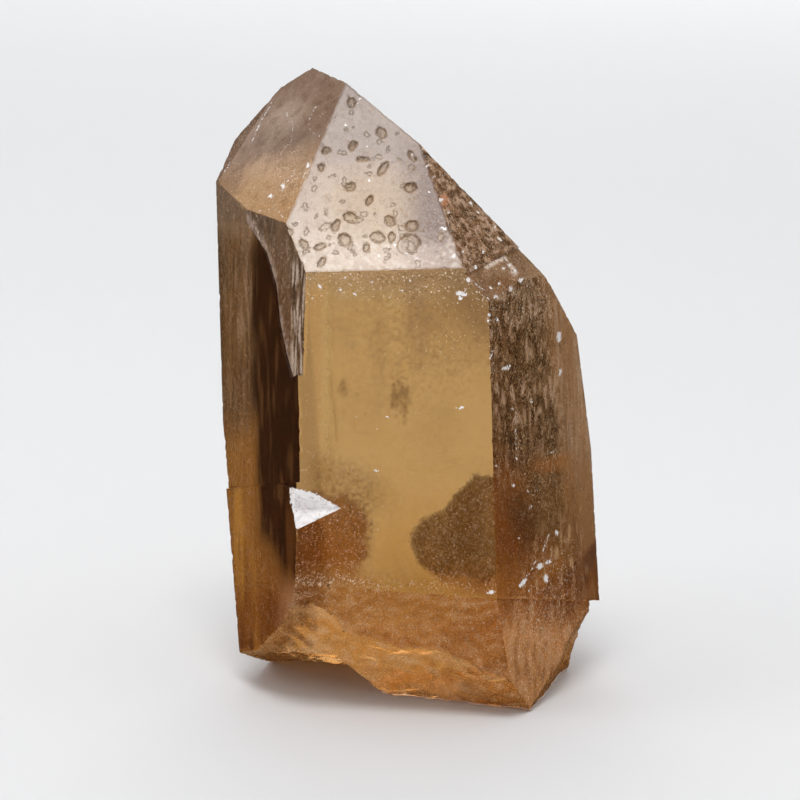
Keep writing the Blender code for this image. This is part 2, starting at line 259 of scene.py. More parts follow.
# Single rows and columns, and places as a column and a row
FRONT_RIGHT = 490
FROST_ROW = 586
STRIP_SEAM = 328
SWELL_START = 300
RIGHT_EDGE = (549, 296)
LEFT_SHADE = (253, 250)
LEFT_CORNER = 262


def direction(azimuth, rise):
    turn = math.radians(azimuth)
    lift = math.radians(rise)
    return Vector((math.sin(turn) * math.cos(lift), -math.cos(turn) * math.cos(lift), math.sin(lift)))


def crystal_axes():
    """The matrix from the crystal's own axes to the row frame, in millimetres."""
    azimuth, rise, distance = RESTING_FLAT
    turn = direction(azimuth, rise).rotation_difference(Vector((0.0, 0.0, -1.0)))
    return Matrix.Translation((MIDDLE[0], MIDDLE[1], distance)) @ turn.to_matrix().to_4x4()


def pixels_from(outline, x, y):
    """How far each place in the photograph is outside an outline, in pixels, or minus that inside."""
    nearest = np.full(len(x), np.inf)
    inside = np.zeros(len(x), dtype=bool)
    for (x0, y0), (x1, y1) in zip(outline, outline[1:] + outline[:1]):
        nearest = np.minimum(nearest, pixels_from_line((x0, y0), (x1, y1), x, y))
        crosses = (y0 > y) != (y1 > y)
        inside ^= crosses & (x < x0 + (y - y0) * (x1 - x0) / (y1 - y0 + 1e-9))
    return np.where(inside, -nearest, nearest)


def pixels_from_line(start, end, x, y):
    dx, dy = end[0] - start[0], end[1] - start[1]
    along = np.clip(((x - start[0]) * dx + (y - start[1]) * dy) / (dx * dx + dy * dy), 0.0, 1.0)
    return np.hypot(x - start[0] - along * dx, y - start[1] - along * dy)


def pixels_from_run(run, x, y):
    """How far each place in the photograph is from a run of points, in pixels."""
    nearest = np.full(len(x), np.inf)
    for start, end in zip(run, run[1:]):
        nearest = np.minimum(nearest, pixels_from_line(start, end, x, y))
    return nearest


def oval_axes(oval, x, y):
    """Each place along and across an oval, with 1 at its rim."""
    middle_x, middle_y, length, width, *turn = oval
    spin = math.radians(sum(turn))
    dx, dy = x - middle_x, middle_y - y
    along = (dx * math.cos(spin) + dy * math.sin(spin)) / (length / 2)
    across = (dy * math.cos(spin) - dx * math.sin(spin)) / (width / 2)
    return along, across


def pixels_from_ovals(ovals, x, y):
    """How far each place is outside the nearest of some ovals, in pixels, or minus that inside."""
    nearest = np.full(len(x), FAR)
    for oval in ovals:
        along, across = oval_axes(oval, x, y)
        reach = np.hypot(along, across)
        slope = np.maximum(np.hypot(along / (oval[2] / 2), across / (oval[3] / 2)), 1e-6)
        nearest = np.minimum(nearest, (reach - 1.0) * np.maximum(reach, 1e-6) / slope)
    return nearest


def smooth(low, high, value):
    part = np.clip((value - low) / (high - low), 0.0, 1.0)
    return part * part * (3.0 - 2.0 * part)


def ripple(points, scale, seed, upright=1.0):
    """Smooth noise from about -1 to 1 at each point, finer or coarser upwards than across."""
    shift = Vector((17.3 * seed, 5.9 * seed, -11.1 * seed))
    places = points * (np.array((1.0, 1.0, upright)) * scale)
    return np.array([noise.noise(Vector(place) + shift) for place in places])


# The solid's faces, divided finely

def zone_of(centre, normal):
    for zone, planes in FACES.items():
        for azimuth, rise, distance in planes:
            outward = direction(azimuth, rise)
            near = abs(outward.dot(centre) - distance) < SAME_PLANE
            if near and outward.dot(normal) > SAME_DIRECTION:
                return zone
    azimuth, rise, distance = FACES["point_front"][0]
    if centre.z > POINT_FOOT and abs(direction(azimuth, rise).dot(centre) - distance) < PIT_DEPTH:
        return "pit"
    if (centre - CHIP_MIDDLE).length < CHIP_REACH:
        return "chip"
    if centre.z > BASE_TOP:
        return "ledge"
    return "base"


def flat_faces(node, to_crystal):
    """The solid's flat faces: their corners, as numbers into the list of points, and each one's zone."""
    mesh = bmesh.new()
    mesh.from_mesh(node.data)
    mesh.transform(Matrix.Scale(1.0 / MM, 4))
    bmesh.ops.remove_doubles(mesh, verts=mesh.verts[:], dist=SAME_CORNER)
    bmesh.ops.dissolve_limit(mesh, angle_limit=FLAT_ANGLE, verts=mesh.verts[:], edges=mesh.edges[:])
    mesh.transform(to_crystal)
    mesh.normal_update()
    mesh.verts.index_update()
    points = [vert.co.copy() for vert in mesh.verts]
    faces = []
    for face in mesh.faces:
        zone = zone_of(face.calc_center_median(), face.normal)
        faces.append(([vert.index for vert in face.verts], face.normal.copy(), zone))
    creases = set()
    for edge in mesh.edges:
        if edge.calc_face_angle(math.pi) > SHARP_ANGLE:
            creases.add(frozenset(vert.index for vert in edge.verts))
    mesh.free()
    return points, faces, creases


def divide(points, faces, creases):
    """Fine triangles over the flat faces, with their zones and the short edges along the creases."""
    finest = {}
    for corners, normal, zone in faces:
        for start, end in zip(corners, corners[1:] + corners[:1]):
            ends = frozenset((start, end))
            finest[ends] = min(finest.get(ends, 9.0), FINENESS[zone])
    points = [point.copy() for point in points]
    between = {}
    sharp = []
    for ends, size in finest.items():
        low, high = sorted(ends)
        count = max(1, round((points[high] - points[low]).length / size))
        chain = [low]
        for step in range(1, count):
            points.append(points[low].lerp(points[high], step / count))
            chain.append(len(points) - 1)
        chain.append(high)
        between[ends] = chain
        if ends in creases:
            sharp += list(zip(chain[:-1], chain[1:]))
    triangles = []
    zones = []
    for corners, normal, zone in faces:
        rim = []
        for start, end in zip(corners, corners[1:] + corners[:1]):
            chain = between[frozenset((start, end))]
            rim += chain[:-1] if chain[0] == start else chain[:0:-1]
        made = fill(points, rim, normal, FINENESS[zone])
        triangles += made
        zones += [zone] * len(made)
    return points, triangles, zones, sharp


def fill(points, rim, normal, size):
    """Triangles of about one size over a flat face with that rim. New points join the list."""
    if len(rim) == 3:
        return [tuple(rim)]
    across = normal.orthogonal().normalized()
    along = normal.cross(across)
    origin = points[rim[0]]
    flat = [Vector(((points[i] - origin).dot(across), (points[i] - origin).dot(along))) for i in rim]
    tree = kdtree.KDTree(len(flat))
    for number, place in enumerate(flat):
        tree.insert((place.x, place.y, 0.0), number)
    tree.balance()
    low = [min(place[axis] for place in flat) for axis in (0, 1)]
    high = [max(place[axis] for place in flat) for axis in (0, 1)]
    inner = []
    row_height = size * math.sqrt(0.75)
    for row in range(1, int((high[1] - low[1]) / row_height) + 1):
        y = low[1] + row * row_height
        shift = size / 2 if row % 2 else 0.0
        for column in range(int((high[0] - low[0]) / size) + 1):
            place = Vector((low[0] + shift + column * size, y))
            if tree.find((place.x, place.y, 0.0))[2] > 0.6 * size:
                inner.append(place)
    cut = delaunay_2d_cdt(flat + inner, [], [list(range(len(rim)))], 1, 1e-5)
    made, sources = cut[2], cut[3]
    numbers = {}
    for place, source in enumerate(sources):
        if source and source[0] < len(rim):
            numbers[place] = rim[source[0]]
    triangles = []
    for face in made:
        for place in face:
            if place not in numbers:
                points.append(origin + across * cut[0][place].x + along * cut[0][place].y)
                numbers[place] = len(points) - 1
        a, b, c = (numbers[place] for place in face)
        facing = (points[b] - points[a]).cross(points[c] - points[a]).dot(normal)
        triangles.append((a, b, c) if facing > 0 else (a, c, b))
    return triangles


# The camera, the room and the light. The room's measures are metres.
RINGS = 96
FLOOR_RADII = (0.3, 0.9, 1.6)
CURVE_RADIUS = 0.8
CURVE_STEPS = 12
WALL_TOP = 2.6


def photo_places(points):
    """Where points in the row frame, in millimetres, show in the photograph, in pixels."""
    right = np.array(FORWARD.cross(UPWARD))
    away = points - np.array(EYE)
    depth = away @ np.array(FORWARD)
    x = FRAME_PIXELS / 2 + LENS_PIXELS * (away @ right) / depth
    y = FRAME_PIXELS / 2 - LENS_PIXELS * (away @ np.array(UPWARD)) / depth
    return x, y


def add_camera():
    data = bpy.data.cameras.new("camera")
    data.sensor_width = SENSOR
    data.lens = LENS_PIXELS / FRAME_PIXELS * SENSOR
    data.clip_start = 0.01
    camera = bpy.data.objects.new("camera", data)
    bpy.context.scene.collection.objects.link(camera)
    right = FORWARD.cross(UPWARD).normalized()
    up = right.cross(FORWARD).normalized()
    turn = Matrix((right, up, -FORWARD.normalized())).transposed().to_4x4()
    camera.matrix_world = Matrix.Translation(EYE * MM) @ turn
    bpy.context.scene.camera = camera


def object_of(name, points, faces):
    mesh = bpy.data.meshes.new(name)
    mesh.from_pydata(points, [], faces)
    mesh.update()
    thing = bpy.data.objects.new(name, mesh)
    bpy.context.scene.collection.objects.link(thing)
    return thing


def plain_material(name, colour):
    material = bpy.data.materials.new(name)
    material.use_nodes = True
    shader = material.node_tree.nodes["Principled BSDF"]
    shader.inputs["Base Color"].default_value = (*colour, 1.0)
    shader.inputs["Roughness"].default_value = 0.9
    shader.inputs["Specular IOR Level"].default_value = 0.2
    return material


def room_mesh(name, lift):
    """A floor that curves up into a wall all round."""
    profile = [(radius, 0.0) for radius in FLOOR_RADII]
    for step in range(1, CURVE_STEPS + 1):
        angle = math.radians(90.0 * step / CURVE_STEPS)
        rise = CURVE_RADIUS - CURVE_RADIUS * math.cos(angle)
        profile.append((FLOOR_RADII[-1] + CURVE_RADIUS * math.sin(angle), rise))
    profile.append((FLOOR_RADII[-1] + CURVE_RADIUS, WALL_TOP))
    points = [(0.0, 0.0, lift)]
    faces = []
    for radius, height in profile:
        for ring in range(RINGS):
            turn = 2.0 * math.pi * ring / RINGS
            points.append((radius * math.cos(turn), radius * math.sin(turn), height + lift))
    for ring in range(RINGS):
        after = (ring + 1) % RINGS
        faces.append((0, 1 + ring, 1 + after))
        for level in range(len(profile) - 1):
            low = 1 + level * RINGS
            high = low + RINGS
            faces.append((low + ring, high + ring, high + after, low + after))
    room = object_of(name, points, faces)
    room.data.shade_smooth()
    return room


def add_room():
    """The pale room, and the darker one that the crystal's gloss shows in its place."""
    room = room_mesh("room", 0.0)
    room.data.materials.append(plain_material("pale_room", (0.775, 0.778, 0.785)))
    room.visible_glossy = False
    dark = room_mesh("reflected_room", 0.0005)
    dark.data.materials.append(plain_material("reflected_room", (0.02, 0.017, 0.014)))
    # A painted dark reflection: this darker room shows only in the crystal's gloss, in place of the pale
    # one
    dark.visible_camera = False
    dark.visible_diffuse = False
    dark.visible_transmission = False
    dark.visible_shadow = False


def add_world():
    world = bpy.data.worlds.new("world")
    bpy.context.scene.world = world
    world.use_nodes = True
    background = world.node_tree.nodes["Background"]
    background.inputs["Color"].default_value = (1.0, 1.0, 1.0, 1.0)
    background.inputs["Strength"].default_value = 0.74


def add_softbox(name, place, target, size, power):
    data = bpy.data.lights.new(name, "AREA")
    data.shape = "RECTANGLE"
    data.size, data.size_y = size
    data.energy = power
    lamp = bpy.data.objects.new(name, data)
    lamp.location = place
    lamp.rotation_euler = (Vector(target) - Vector(place)).to_track_quat("-Z", "Y").to_euler()
    bpy.context.scene.collection.objects.link(lamp)


def add_lights():
    add_world()
    add_softbox("top_softbox", (-0.1, -0.45, 1.1), (0.0, 0.0, 0.05), (0.45, 0.4), 5.0)
    add_softbox("left_softbox", (-1.1, -0.5, 0.6), (0.0, 0.0, 0.05), (0.6, 0.9), 2.6)
    add_softbox("back_softbox", (0.0, 2.0, 1.6), (0.0, 1.5, 0.0), (1.6, 0.8), 17.0)


def set_view():
    scene = bpy.context.scene
    scene.view_settings.view_transform = "Standard"
    scene.cycles.max_bounces = 24
    scene.cycles.transmission_bounces = 20
    scene.cycles.glossy_bounces = 12
    scene.cycles.sample_clamp_indirect = 6.0


# The colours and the wear of each zone

def screen(red, green, blue):
    """A colour as a screen shows it, from 0 to 255, as linear values."""
    return tuple(((value / 255.0 + 0.055) / 1.055) ** 2.4 for value in (red, green, blue))


class Coat:
    """What is painted on one zone's points: colour, how milky it is instead of clear, and its wear."""

    def __init__(self, points, places, colour, milk=0.0, rough=0.08):
        count = len(points)
        self.height = places[:, 2]
        self.places = places
        self.x, self.y = photo_places(points)
        self.colour = np.tile(np.array(colour, dtype=float), (count, 1))
        self.milk = np.full(count, float(milk))
        self.rough = np.full(count, float(rough))
        self.stipple = np.zeros(count)
        self.crackle = np.zeros(count)
        self.pit = np.full(count, FAR)
        self.veil = np.full(count, FAR)
        self.grain = np.full(count, 0.2)
        self.specks = np.zeros(count)
        # Where the glints (painted highlights), the scratches and the crushed chip lie
        self.glint = np.minimum(pixels_from_ovals(GLINTS, self.x, self.y), self.scratches())
        self.glint = np.minimum(self.glint, pixels_from(CHIP, self.x, self.y) + 0.5)

    def scratches(self):
        nearest = np.full(len(self.x), FAR)
        for run in SCRATCHES:
            nearest = np.minimum(nearest, pixels_from_run(run, self.x, self.y) - SCRATCH_HALF_WIDTH)
        return nearest

    def lay(self, strength, colour, milk=None, rough=None):
        """Lay another colour over it, as strong as given at each point."""
        strength = np.clip(strength, 0.0, 1.0)
        self.colour += (np.array(colour) - self.colour) * strength[:, None]
        if milk is not None:
            self.milk += (milk - self.milk) * strength
        if rough is not None:
            self.rough += (rough - self.rough) * strength

    def oval(self, name, soft=0.6):
        """1 in the middle of a named oval in the photograph, falling softly to 0 outside it."""
        away = np.hypot(*oval_axes(OVALS[name], self.x, self.y))
        return 1.0 - smooth(1.0 - soft, 1.0 + soft, away)

    def wear(self, **amounts):
        """Add to the kinds of wear that are named."""
        for kind, amount in amounts.items():
            setattr(self, kind, getattr(self, kind) + amount)

    def from_run(self, name):
        return pixels_from_run(RUNS[name], self.x, self.y)

    def rows(self, name, shift=0.0):
        return smooth(*ROWS[name], self.y + shift)

    def columns(self, name, shift=0.0):
        return smooth(*COLUMNS[name], self.x + shift)

    def cloud(self, scale, seed, upright=1.0):
        return ripple(self.places, scale, seed, upright)


def paint_smoke(coat, cloud, fine, top):
    """The smoky top of the front face, its dark spots and the light strip on its left."""
    coat.lay(smooth(0.1, 0.6, cloud) * 0.25, (0.8, 0.62, 0.28))
    coat.lay(top * 0.7, screen(190, 160, 130), 0.3)
    coat.lay(coat.columns("smoky_side", cloud * 30) * coat.rows("smoky_top") * 0.85, (0.36, 0.27, 0.16))
    coat.lay(coat.oval("smoke_right") * (0.5 + 0.4 * fine), (0.24, 0.17, 0.1))
    coat.lay(coat.oval("smoke_column") * (0.55 + 0.3 * fine), (0.34, 0.26, 0.18))
    coat.lay(coat.oval("dark_spot") * (0.5 + 0.6 * fine), (0.14, 0.1, 0.05))
    coat.lay(coat.oval("small_spot") * 0.6, (0.3, 0.2, 0.09))
    coat.lay(coat.oval("faint_column") * 0.25, (0.4, 0.32, 0.18))
    coat.lay(coat.rows("front_gold", cloud * 16) * 0.7, (0.93, 0.66, 0.2))
    # Painted light: the strip at the front face's left is made milky gold, in place of the light that
    # shines through the crystal there
    coat.lay(coat.columns("strip", fine * 4) * coat.rows("strip_foot") * coat.rows("strip_top") * 0.92,
             screen(198, 152, 92), 0.7)
    seam = smooth(9, 2, np.abs(coat.x - STRIP_SEAM))
    coat.lay(seam * coat.rows("seam_foot") * coat.rows("strip_top") * 0.5, (0.66, 0.44, 0.15))


def paint_patch(coat, cloud, fine, mottle):
    """The large patch below the chip: how far a place is in it, and its rim."""
    from_patch = pixels_from(PATCH, coat.x, coat.y)
    inside = smooth(6, -9, from_patch + cloud * 5 + fine * 5)
    rim = inside * smooth(-15, -5, from_patch + fine * 6) * coat.rows("patch_rim_foot")
    coat.lay(inside * 0.97, screen(140, 78, 20), milk=0.4)
    coat.lay(inside * smooth(0, 0.5, fine) * 0.4, screen(172, 106, 42))
    coat.lay(coat.oval("patch_glow") * inside * 0.6, screen(156, 84, 6))
    coat.lay(rim * smooth(-0.2, 0.4, mottle) * 0.85, screen(98, 60, 30))
    coat.lay(coat.oval("patch_shade") * smooth(-0.2, 0.4, mottle) * 0.6, screen(104, 62, 28), 0.4)
    coat.lay(coat.oval("patch_haze") * (0.6 + 0.5 * mottle) * coat.columns("patch_haze_side"),
             screen(140, 98, 52), 0.3)
    return inside, rim


def paint_veil(coat, cloud, fine, mottle):
    """The dark veil: how far a place is behind it."""
    coat.veil = pixels_from(VEIL, coat.x, coat.y)
    veiled = smooth(0.5, -5, coat.veil) * coat.rows("veil_end", cloud * 12)
    low = coat.rows("veil_fading", cloud * 10)
    coat.veil = coat.veil * (1 - 0.88 * low) + 3.2 * low
    coat.lay(veiled * 0.85, screen(142, 88, 36), 0.32)
    coat.lay(veiled * smooth(-0.1, 0.4, mottle) * 0.5, screen(104, 66, 34))
    coat.lay(veiled * coat.oval("veil_heart", 0.8) * 0.85, screen(74, 52, 18), 0.22)
    coat.lay(veiled * coat.columns("veil_right", fine * 4) * 0.7, screen(168, 120, 66), 0.35)
    coat.lay(veiled * coat.oval("veil_foot", 0.8) * 0.4, screen(112, 72, 24), 0.3)
    coat.lay(veiled * smooth(0.1, 0.5, fine) * low * 0.6, screen(184, 136, 84), 0.4)
    return veiled


def paint_front(coat):
    x, y = coat.x, coat.y
    cloud = coat.cloud(0.25, 1)
    fine = coat.cloud(1.1, 2)
    mottle = coat.cloud(2, 40)
    top = coat.rows("front_top", fine * 6)
    paint_smoke(coat, cloud, fine, top)
    inside, rim = paint_patch(coat, cloud, fine, mottle)
    veiled = paint_veil(coat, cloud, fine, mottle)
    coat.lay(coat.rows("front_foot", cloud * 12 + (FRONT_RIGHT - x) * 0.06) * 0.8,
             screen(190, 128, 58), 0.3, 0.2)
    coat.lay(coat.oval("pale_foot_left") * 0.6, screen(186, 138, 92), 0.4)
    line = y - FROST_ROW + (FRONT_RIGHT - x) * 0.02 + cloud * 5
    coat.crackle += coat.rows("front_frost", (FRONT_RIGHT - x) * 0.05) * 0.4
    coat.crackle += smooth(8, 1, np.abs(line)) * (0.3 + coat.oval("frost_left") + coat.oval("frost_corner"))
    coat.crackle += inside * 0.2 + top * 0.35 + veiled * 0.12 + 0.12
    coat.lay(coat.oval("under_veil") * 0.5, screen(160, 98, 34), 0.25)
    left = coat.columns("strip_left")
    coat.stipple += (0.14 + 0.16 * top) * (1 - 0.7 * left) + inside * 0.12 + rim * 0.16 + veiled * 0.12
    corner = smooth(5, 1, coat.from_run("front_right_corner"))
    coat.specks += corner * 1.2 + 0.15
    coat.specks += top * 0.8 + smooth(8, 2, np.abs(line)) * 0.35 + coat.oval("patch_specks") * 0.2
    coat.specks += coat.oval("upper_specks") * 0.25 + coat.oval("lower_specks") * 0.1
    for name in ("hairline_high", "hairline_low"):
        coat.lay(smooth(2.2, 0.4, coat.from_run(name)) * 0.5, (0.4, 0.27, 0.1))
    coat.lay(smooth(2.6, 0.6, coat.from_run("dash_left")) * 0.6, (0.16, 0.09, 0.04))
    coat.lay(smooth(2.6, 0.6, coat.from_run("dash_right")) * 0.5, (0.2, 0.12, 0.05))
    smoky = coat.oval("upper_mottle", 0.8)
    coat.lay(smooth(0, 0.4, mottle) * smoky * 0.5, (0.3, 0.2, 0.1))
    coat.lay(smooth(0, 0.5, fine) * smoky * 0.4, (0.36, 0.26, 0.15))
    marks = coat.oval("dark_spot_mottle") + coat.oval("small_spot_mottle")
    coat.lay(smooth(-0.1, 0.4, mottle) * marks * 0.6, (0.2, 0.12, 0.05))
    coat.lay(coat.rows("amber_low", cloud * 16) * coat.columns("amber_side") * (1 - veiled) * 0.45,
             (0.78, 0.46, 0.09))
    coat.wear(specks=0.35 * coat.columns("specks_side") * coat.rows("specks_top"),
              grain=inside * 0.4 + coat.rows("grain_foot") * 0.3 + top * 0.5)


def paint_swell(coat):
    cloud = coat.cloud(0.2, 3)
    fine = coat.cloud(0.55, 4, 1.6)
    wisp = coat.cloud(1.12, 41, 18 / 7)
    coat.lay(coat.rows("swell_top", cloud * 14) * 0.75, screen(182, 116, 40), 0.28)
    coat.lay(coat.rows("swell_pale", cloud * 18 - (coat.x - SWELL_START) * 0.12) * 0.7,
             screen(214, 158, 106), 0.46)
    coat.lay(coat.columns("swell_right", cloud * 30) * coat.rows("swell_right_foot") * 0.6,
             screen(186, 112, 34), 0.26)
    coat.lay(coat.oval("swell_bloom") * 0.85, screen(222, 188, 156), 0.68)
    coat.lay(coat.columns("swell_left") * 0.6, screen(214, 172, 134), 0.6)
    coat.lay(smooth(0, 0.5, fine) * 0.5, screen(226, 176, 124), 0.46)
    coat.lay(smooth(-0.05, -0.5, fine) * 0.45, screen(156, 94, 34), 0.26)
    coat.lay(smooth(0.2, 0.55, wisp) * 0.35, screen(240, 200, 156), 0.5)
    coat.wear(crackle=0.55, stipple=0.08, specks=0.3, grain=0.2)


def paint_right(coat):
    x, y = coat.x, coat.y
    cloud = coat.cloud(0.25, 5)
    fine = coat.cloud(0.7, 6, 0.6)
    coat.lay(smooth(-0.3, 0.5, cloud) * 0.5, (0.075, 0.04, 0.017), 0.2)
    coat.lay(smooth(0, 0.5, fine) * 0.5, (0.22, 0.13, 0.07), 0.35)
    coat.lay(smooth(0, -0.5, fine) * 0.7, (0.006, 0.003, 0.0015), 0.05)
    feather = coat.cloud(1, 42, 0.55) + 0.5 * coat.cloud(0.3, 43)
    coat.lay(smooth(0.15, 0.55, feather) * coat.rows("feathers") * 0.85, screen(188, 158, 134), 0.55)
    coat.lay(smooth(-0.1, -0.5, feather) * 0.75, (0.01, 0.005, 0.0025), 0.05)
    edge = smooth(-16, 12, x - RIGHT_EDGE[0] - (y - RIGHT_EDGE[1]) * 0.13 + cloud * 8)
    coat.lay(edge * 0.85, screen(176, 128, 88), 0.5)
    bands = coat.cloud(0.9, 45, 0.12)
    coat.lay(edge * smooth(0, 0.5, bands) * coat.rows("bands") * 0.6, screen(196, 166, 140), 0.6)
    coat.lay(edge * smooth(0, -0.5, bands) * 0.5, screen(128, 84, 48), 0.4)
    coat.lay(coat.rows("right_amber", cloud * 26) * 0.75, (0.24, 0.075, 0.006), 0.15)
    coat.lay(edge * coat.rows("right_edge_low") * 0.6, screen(146, 100, 60), 0.45)
    deep = coat.oval("right_deep")
    coat.lay(deep * 0.9, (0.11, 0.022, 0.001), 0.07)
    coat.lay(coat.oval("right_core") * 0.8, (0.015, 0.004, 0.0005), 0.04)
    coat.lay(coat.oval("right_shadow") * 0.75, (0.02, 0.009, 0.002), 0.06)
    coat.lay(coat.oval("right_haze") * smooth(-0.1, 0.4, fine) * 0.6, screen(176, 136, 104), 0.5)
    coat.lay(coat.oval("right_band") * 0.6, screen(150, 84, 26), 0.3)
    coat.lay(coat.rows("right_gold", fine * 10 + cloud * 12) * 0.85, screen(184, 112, 30), 0.3)
    coat.lay(coat.rows("right_foot", cloud * 14) * 0.85, screen(255, 180, 108), 0.6)
    flecks = coat.rows("right_flecks", cloud * 10) * coat.columns("right_flecks_side")
    coat.lay(flecks * smooth(0, 0.4, fine) * 0.5, screen(214, 164, 112), 0.5)
    low = coat.rows("right_low")
    coat.lay(low * smooth(0, 0.5, fine) * 0.5, screen(250, 192, 136), 0.6)
    coat.lay(low * smooth(0, -0.5, fine) * 0.5, screen(188, 116, 44), 0.4)
    high = coat.rows("right_high") * (1 - edge)
    coat.wear(crackle=high * 0.6 + low * 0.45, specks=high * 0.9 + low * 0.3)
    lean = coat.cloud(0.8, 29, 0.5)
    coat.stipple += (1 - 0.8 * coat.rows("stipple_fading")) * (1 - 0.6 * edge) * (0.75 + 1.1 * lean)
    coat.stipple *= 1 - 0.6 * deep
    coat.stipple += high * 0.5
    corner = smooth(6, 1, coat.from_run("right_corner"))
    coat.specks += corner * 1.6
    coat.lay(smooth(0.15, 0.55, coat.cloud(1, 38, 0.4)) * coat.oval("right_streaks") * 0.6,
             screen(232, 190, 140), 0.6)
    coat.wear(crackle=coat.rows("right_crackle") * (1 - edge) * 0.3 + coat.oval("right_frost") * 0.5,
              specks=coat.oval("right_specks_high") * 0.5 + coat.oval("right_specks_low") * 0.8)
    coat.wear(specks=0.2 * (1 - edge) * (1 - deep), grain=0.8 * (1 - edge) * coat.rows("right_grain"))


def paint_left(coat):
    x, y = coat.x, coat.y
    streak = coat.cloud(0.35, 7, 0.12)
    fine = coat.cloud(1, 8, 0.16)
    cloud = coat.cloud(0.2, 9)
    side = x - LEFT_SHADE[0] - (y - LEFT_SHADE[1]) * 0.01 + streak * 8 + cloud * 4
    # Painted shade: the dark band on the left face, fading out towards its foot, stands in for the dark
    # room that the face reflects
    dark = smooth(-7, 5, side) * coat.rows("dark_foot", cloud * 8 + streak * 12 - (x - LEFT_CORNER) * 1.6)
    coat.lay(smooth(-0.2, 0.6, streak) * 0.5, (0.2, 0.09, 0.025), 0.2)
    coat.lay(smooth(0.1, 0.6, fine) * 0.5, (0.34, 0.2, 0.09), 0.35)
    coat.lay(smooth(0, -0.4, fine) * 0.7, (0.03, 0.012, 0.004), 0.1)
    coat.lay(smooth(0, -0.4, streak) * 0.4, (0.04, 0.016, 0.005), 0.12)
    middle = coat.oval("left_middle", 0.9)
    coat.lay(middle * smooth(0, 0.5, coat.cloud(1.3, 46, 0.14)) * 0.5, screen(150, 120, 92), 0.4)
    coat.lay(coat.oval("left_glow", 0.8) * 0.6, (0.1, 0.034, 0.004), 0.14)
    patch = coat.oval("left_frost", 0.8) * smooth(-0.1, 0.4, fine + cloud)
    coat.lay(patch * 0.75, screen(176, 142, 116), 0.5)
    coat.lay(coat.columns("left_rim", -streak * 3) * coat.rows("left_rim_foot") * 0.6,
             (0.05, 0.02, 0.006), 0.12)
    coat.lay(coat.rows("left_top", streak * 10) * 0.85, screen(172, 142, 114), 0.55)
    coat.lay(coat.rows("left_amber", streak * 26) * 0.8, (0.36, 0.12, 0.008), 0.2)
    coat.lay(smooth(0, 0.5, streak) * coat.rows("left_low") * 0.6, (0.7, 0.3, 0.02), 0.25)
    coat.lay(smooth(0, -0.5, fine) * coat.rows("left_low") * 0.5, (0.14, 0.04, 0.003), 0.1)
    # Painted shade laid over the dark band, with warmer streaks in it
    coat.lay(dark, (0.005, 0.001, 0.0001), 0.04)
    coat.lay(dark * smooth(0.1, 0.6, fine) * 0.5, (0.07, 0.028, 0.007), 0.15)
    coat.lay(dark * coat.rows("dark_low") * smooth(-0.1, 0.4, streak) * 0.4, (0.1, 0.03, 0.004), 0.14)
    coat.lay(coat.rows("left_foot") * coat.columns("left_foot_side") * 0.7, screen(196, 146, 104), 0.5)
    coat.wear(stipple=0.3 * (1 - dark), specks=0.3 * (1 - dark), grain=0.3)


def paint_point_front(coat):
    x, y = coat.x, coat.y
    cloud = coat.cloud(0.22, 10)
    coat.lay(coat.rows("point_pale", cloud * 20) * 0.9, screen(226, 206, 186), 0.75)
    coat.lay(coat.rows("point_tip") * 0.6, screen(158, 134, 122), 0.5)
    coat.lay(coat.oval("lilac", 0.7) * 0.95, screen(93, 59, 50), 0.5)
    coat.lay(coat.oval("point_gold") * 0.6, screen(190, 164, 124), 0.5)
    coat.lay(coat.oval("point_foot") * 0.5, screen(200, 178, 168), 0.7)
    coat.lay(smooth(0.1, 0.5, coat.cloud(0.6, 26)) * 0.3, screen(176, 150, 130))
    coat.lay(coat.rows("point_low") * smooth(0, 0.5, coat.cloud(1.6, 44)) * 0.5,
             screen(246, 236, 226), 0.85)
    coat.pit = pixels_from_ovals(PITS, x, y)
    coat.wear(stipple=0.3, specks=0.25, grain=0.3)


def paint_point_left(coat):
    cloud = coat.cloud(0.16, 11)
    fine = coat.cloud(0.7, 27)
    streak = coat.cloud(0.15, 12, 2)
    gold = coat.rows("point_left_gold", cloud * 16)
    coat.lay(smooth(-0.3, 0.4, cloud) * 0.75, screen(222, 196, 174), 0.58)
    coat.lay(coat.rows("point_left_tip", streak * 8) * 0.5, screen(160, 128, 106), 0.5)
    coat.lay(coat.oval("point_left_edge", 0.4) * 0.6, screen(152, 118, 94), 0.5)
    coat.lay(coat.oval("point_left_smoke") * 0.4, screen(140, 114, 94), 0.5)
    coat.lay(gold * 0.85, screen(206, 166, 122), 0.45)
    coat.lay(smooth(0.1, 0.5, fine) * 0.25, screen(214, 192, 170))
    coat.lay(smooth(-0.1, -0.5, fine) * 0.3, screen(128, 98, 76))
    coat.wear(crackle=0.3 * gold + 0.7 * coat.oval("point_left_frost"), stipple=0.12,
              specks=0.25 + 0.2 * gold, grain=0.3)


def paint_point_strip(coat):
    streak = coat.cloud(0.5, 13, 0.3)
    coat.lay(smooth(-0.2, 0.5, streak) * 0.5, screen(190, 162, 138), 0.6)
    coat.wear(stipple=0.35, specks=0.4)


def paint_point_right(coat):
    cloud = coat.cloud(0.45, 14)
    fine = coat.cloud(1.1, 15)
    coat.lay(smooth(0, 0.3, cloud) * 0.85, (0.02, 0.009, 0.004), 0.12)
    coat.lay(smooth(0.05, 0.35, fine) * 0.8, screen(206, 174, 150), 0.65)
    coat.lay(smooth(-0.05, -0.35, fine) * 0.7, screen(66, 42, 28), 0.2)
    coat.lay(coat.oval("orange_spot") * 0.7, screen(226, 144, 98), 0.7)
    coat.wear(crackle=0.9, stipple=0.35, specks=0.8, grain=1)


